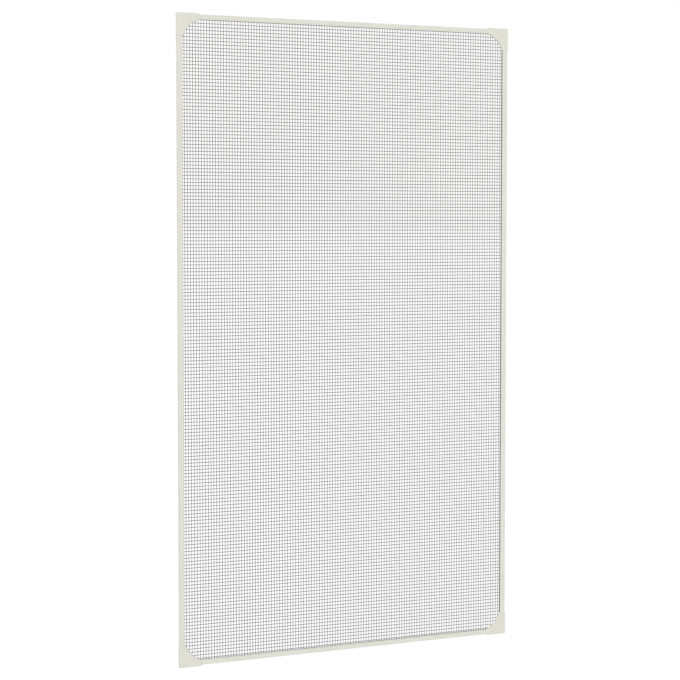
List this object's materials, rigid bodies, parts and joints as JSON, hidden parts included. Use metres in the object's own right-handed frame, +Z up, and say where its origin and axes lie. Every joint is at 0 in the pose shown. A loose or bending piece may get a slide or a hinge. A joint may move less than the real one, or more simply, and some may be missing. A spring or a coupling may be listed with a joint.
{
  "type": "window screen frame",
  "caption": "Slim rectangular window screen: pale hollow bars joined by proud moulded corner pieces with rounded inner edges, and a dark woven mesh held in grooves by rubber strips.",
  "frame": {"origin": "middle of the whole frame, over the corner pieces", "axes": "+X along the rails to the right as seen from the front, +Y from the front to the rear face that lies on the window, +Z up along the stiles"},
  "size_m": [0.8, 0.0094, 1.4],
  "materials": {
    "bar": "satin powder coat",
    "corner": "fine satin",
    "spline": "matt",
    "mesh": "matt coated yarn"
  },
  "bodies": {
    "root": {"left_stile": "bar", "right_stile": "bar", "top_rail": "bar", "bottom_rail": "bar", "corner_top_left": "corner", "corner_top_right": "corner", "corner_bottom_left": "corner", "corner_bottom_right": "corner", "spline_left": "spline", "spline_right": "spline", "spline_top": "spline", "spline_bottom": "spline", "screen_mesh": "mesh"}
  },
  "joints": []
}
